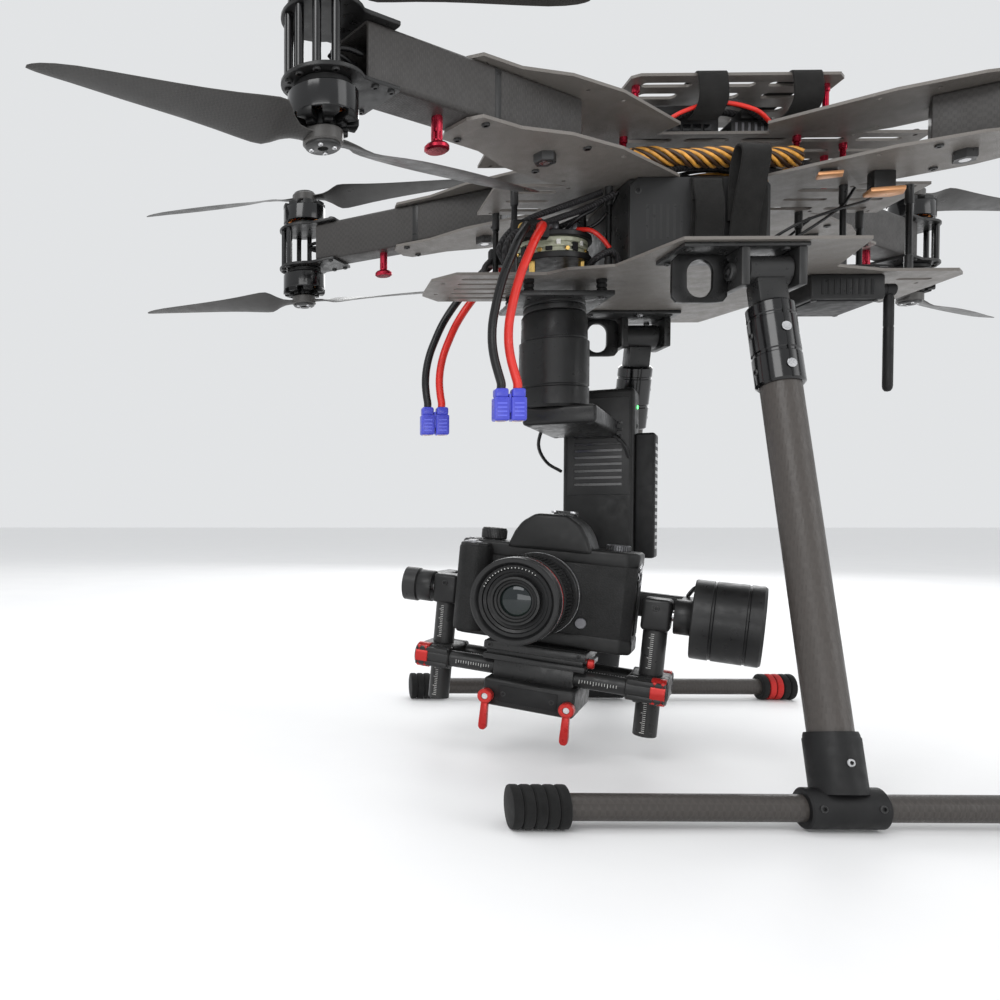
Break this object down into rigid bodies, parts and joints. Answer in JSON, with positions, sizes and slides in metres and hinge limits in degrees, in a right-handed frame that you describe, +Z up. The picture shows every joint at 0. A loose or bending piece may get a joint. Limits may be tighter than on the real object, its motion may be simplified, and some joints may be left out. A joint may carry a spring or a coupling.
{
  "type": "coaxial multirotor drone with camera gimbal",
  "caption": "Camera drone with folding coaxial rotor arms, retracting skid legs and a three-axis camera gimbal.",
  "frame": {"origin": "centre of the bounding box on the ground plane, under the middle of the airframe", "axes": "+Z up, -X towards the front where the gimbal hangs, skids run along X"},
  "size_m": [0.9516, 0.5556, 0.5172],
  "materials": {
    "carbon_plate": "satin woven carbon sheet",
    "carbon_tube": "satin twill carbon",
    "carbon_prop": "satin carbon",
    "motor_metal": "black anodised",
    "bracket_metal": "black anodised",
    "post_metal": "dark anodised",
    "red_metal": "red anodised",
    "board": "circuit board",
    "cover_plastic": "matte",
    "black_plastic": "matte",
    "servo_wire": "satin",
    "hook_strap": "looped pile",
    "gimbal_metal": "black anodised",
    "camera_shell": "fine leatherette and matte plastic",
    "grip_rubber": "ribbed",
    "lead_black": "silicone",
    "lead_red": "silicone",
    "plug_blue": "moulded"
  },
  "bodies": {
    "airframe": {"lower_deck": "carbon_plate", "arm_plate_lower": "carbon_plate", "arm_plate_upper": "carbon_plate", "top_tray": "carbon_plate", "standoffs": "post_metal", "power_board": "board", "electronics_box": "cover_plastic", "wire_loom": "servo_wire", "battery_straps": "hook_strap", "receiver_box": "black_plastic", "leg_brackets": "bracket_metal", "gimbal_mount": "gimbal_metal", "lead_left_black": "lead_black", "lead_left_red": "lead_red", "lead_right_black": "lead_black", "lead_right_red": "lead_red", "plug_left": "plug_blue", "plug_right": "plug_blue"},
    "antenna": {"stick_antenna": "black_plastic"},
    "leg_left": {"leg_left": "carbon_tube", "skid_left": "carbon_tube"},
    "leg_right": {"leg_right": "carbon_tube", "skid_right": "carbon_tube"},
    "gimbal_yaw": {"yaw_arm": "gimbal_metal"},
    "gimbal_roll": {"roll_arm": "gimbal_metal"},
    "gimbal_pitch": {"cradle": "gimbal_metal", "camera_body": "camera_shell"},
    "focus_ring": {"focus_ring": "grip_rubber"},
    "mode_dial": {"mode_dial": "camera_shell"},
    "shutter_button": {"shutter_button": "post_metal"},
    "lever_left": {"cradle_lever_left": "red_metal"},
    "lever_right": {"cradle_lever_right": "red_metal"},
    "arm_fl": {"arm_fl": "carbon_tube", "motor_mount_fl": "motor_metal"},
    "pin_fl": {"lock_pin_fl": "red_metal"},
    "rotor_up_fl": {"bell_up_fl": "motor_metal", "prop_up_fl": "carbon_prop"},
    "rotor_low_fl": {"bell_low_fl": "motor_metal", "prop_low_fl": "carbon_prop"},
    "arm_fr": {"arm_fr": "carbon_tube", "motor_mount_fr": "motor_metal"},
    "pin_fr": {"lock_pin_fr": "red_metal"},
    "rotor_up_fr": {"bell_up_fr": "motor_metal", "prop_up_fr": "carbon_prop"},
    "rotor_low_fr": {"bell_low_fr": "motor_metal", "prop_low_fr": "carbon_prop"},
    "arm_rl": {"arm_rl": "carbon_tube", "motor_mount_rl": "motor_metal"},
    "pin_rl": {"lock_pin_rl": "red_metal"},
    "rotor_up_rl": {"bell_up_rl": "motor_metal", "prop_up_rl": "carbon_prop"},
    "rotor_low_rl": {"bell_low_rl": "motor_metal", "prop_low_rl": "carbon_prop"},
    "arm_rr": {"arm_rr": "carbon_tube", "motor_mount_rr": "motor_metal"},
    "pin_rr": {"lock_pin_rr": "red_metal"},
    "rotor_up_rr": {"bell_up_rr": "motor_metal", "prop_up_rr": "carbon_prop"},
    "rotor_low_rr": {"bell_low_rr": "motor_metal", "prop_low_rr": "carbon_prop"}
  },
  "joints": [
    {"name": "fold_fl", "type": "hinge", "parent": "airframe", "child": "arm_fl", "pos_m": [-0.145, -0.09, 0.459], "axis": [0, 0, 1], "range_deg": [0, 50]},
    {"name": "pin_pull_fl", "type": "slide", "parent": "arm_fl", "child": "pin_fl", "axis": [0, 0, -1], "range_m": [0, 0.006], "stiffness_N_per_m": 400, "springref_m": -0.001},
    {"name": "spin_up_fl", "type": "hinge", "parent": "arm_fl", "child": "rotor_up_fl", "pos_m": [-0.305, -0.19, 0.5], "axis": [0, 0, 1], "continuous": true},
    {"name": "spin_low_fl", "type": "hinge", "parent": "arm_fl", "child": "rotor_low_fl", "pos_m": [-0.305, -0.19, 0.42], "axis": [0, 0, 1], "continuous": true},
    {"name": "fold_fr", "type": "hinge", "parent": "airframe", "child": "arm_fr", "pos_m": [-0.145, 0.09, 0.459], "axis": [0, 0, -1], "range_deg": [0, 50]},
    {"name": "pin_pull_fr", "type": "slide", "parent": "arm_fr", "child": "pin_fr", "axis": [0, 0, -1], "range_m": [0, 0.006], "stiffness_N_per_m": 400, "springref_m": -0.001},
    {"name": "spin_up_fr", "type": "hinge", "parent": "arm_fr", "child": "rotor_up_fr", "pos_m": [-0.305, 0.19, 0.5], "axis": [0, 0, 1], "continuous": true},
    {"name": "spin_low_fr", "type": "hinge", "parent": "arm_fr", "child": "rotor_low_fr", "pos_m": [-0.305, 0.19, 0.42], "axis": [0, 0, 1], "continuous": true},
    {"name": "fold_rl", "type": "hinge", "parent": "airframe", "child": "arm_rl", "pos_m": [0.145, -0.09, 0.459], "axis": [0, 0, -1], "range_deg": [0, 50]},
    {"name": "pin_pull_rl", "type": "slide", "parent": "arm_rl", "child": "pin_rl", "axis": [0, 0, -1], "range_m": [0, 0.006], "stiffness_N_per_m": 400, "springref_m": -0.001},
    {"name": "spin_up_rl", "type": "hinge", "parent": "arm_rl", "child": "rotor_up_rl", "pos_m": [0.305, -0.19, 0.5], "axis": [0, 0, 1], "continuous": true},
    {"name": "spin_low_rl", "type": "hinge", "parent": "arm_rl", "child": "rotor_low_rl", "pos_m": [0.305, -0.19, 0.42], "axis": [0, 0, 1], "continuous": true},
    {"name": "fold_rr", "type": "hinge", "parent": "airframe", "child": "arm_rr", "pos_m": [0.145, 0.09, 0.459], "axis": [0, 0, 1], "range_deg": [0, 50]},
    {"name": "pin_pull_rr", "type": "slide", "parent": "arm_rr", "child": "pin_rr", "axis": [0, 0, -1], "range_m": [0, 0.006], "stiffness_N_per_m": 400, "springref_m": -0.001},
    {"name": "spin_up_rr", "type": "hinge", "parent": "arm_rr", "child": "rotor_up_rr", "pos_m": [0.305, 0.19, 0.5], "axis": [0, 0, 1], "continuous": true},
    {"name": "spin_low_rr", "type": "hinge", "parent": "arm_rr", "child": "rotor_low_rr", "pos_m": [0.305, 0.19, 0.42], "axis": [0, 0, 1], "continuous": true},
    {"name": "leg_left_retract", "type": "hinge", "parent": "airframe", "child": "leg_left", "pos_m": [0, -0.105, 0.352], "axis": [-1, 0, 0], "range_deg": [0, 74]},
    {"name": "leg_right_retract", "type": "hinge", "parent": "airframe", "child": "leg_right", "pos_m": [0, 0.105, 0.352], "axis": [1, 0, 0], "range_deg": [0, 74]},
    {"name": "gimbal_yaw_turn", "type": "hinge", "parent": "airframe", "child": "gimbal_yaw", "pos_m": [-0.11, 0, 0.3], "axis": [0, 0, 1], "range_deg": [-130, 40]},
    {"name": "gimbal_roll_turn", "type": "hinge", "parent": "gimbal_yaw", "child": "gimbal_roll", "pos_m": [-0.06775, 0.07946, 0.12], "axis": [0.4695, 0.8829, 0], "range_deg": [-25, 15]},
    {"name": "gimbal_pitch_turn", "type": "hinge", "parent": "gimbal_roll", "child": "gimbal_pitch", "pos_m": [-0.11939, -0.01766, 0.12], "axis": [0.8796, -0.4677, -0.0872], "range_deg": [-30, 38]},
    {"name": "focus_turn", "type": "hinge", "parent": "gimbal_pitch", "child": "focus_ring", "pos_m": [-0.15155, -0.07078, 0.12633], "axis": [-0.4695, -0.8829, 0], "range_deg": [-60, 60]},
    {"name": "mode_dial_turn", "type": "hinge", "parent": "gimbal_pitch", "child": "mode_dial", "pos_m": [-0.15616, 0.00189, 0.17183], "axis": [0.077, -0.0409, 0.9962], "continuous": true},
    {"name": "shutter_press", "type": "slide", "parent": "gimbal_pitch", "child": "shutter_button", "axis": [-0.077, 0.0409, -0.9962], "range_m": [0, 0.0015], "stiffness_N_per_m": 400, "springref_m": -0.001},
    {"name": "lever_left_turn", "type": "hinge", "parent": "gimbal_pitch", "child": "lever_left", "pos_m": [-0.17213, -0.03945, 0.0489], "axis": [0.4695, 0.8829, 0], "range_deg": [0, 80]},
    {"name": "lever_right_turn", "type": "hinge", "parent": "gimbal_pitch", "child": "lever_right", "pos_m": [-0.11935, -0.06751, 0.04367], "axis": [-0.4695, -0.8829, 0], "range_deg": [0, 80]},
    {"name": "antenna_turn", "type": "hinge", "parent": "airframe", "child": "antenna", "pos_m": [0.133, -0.03, 0.359], "axis": [1, 0, 0], "range_deg": [-80, 80]}
  ]
}
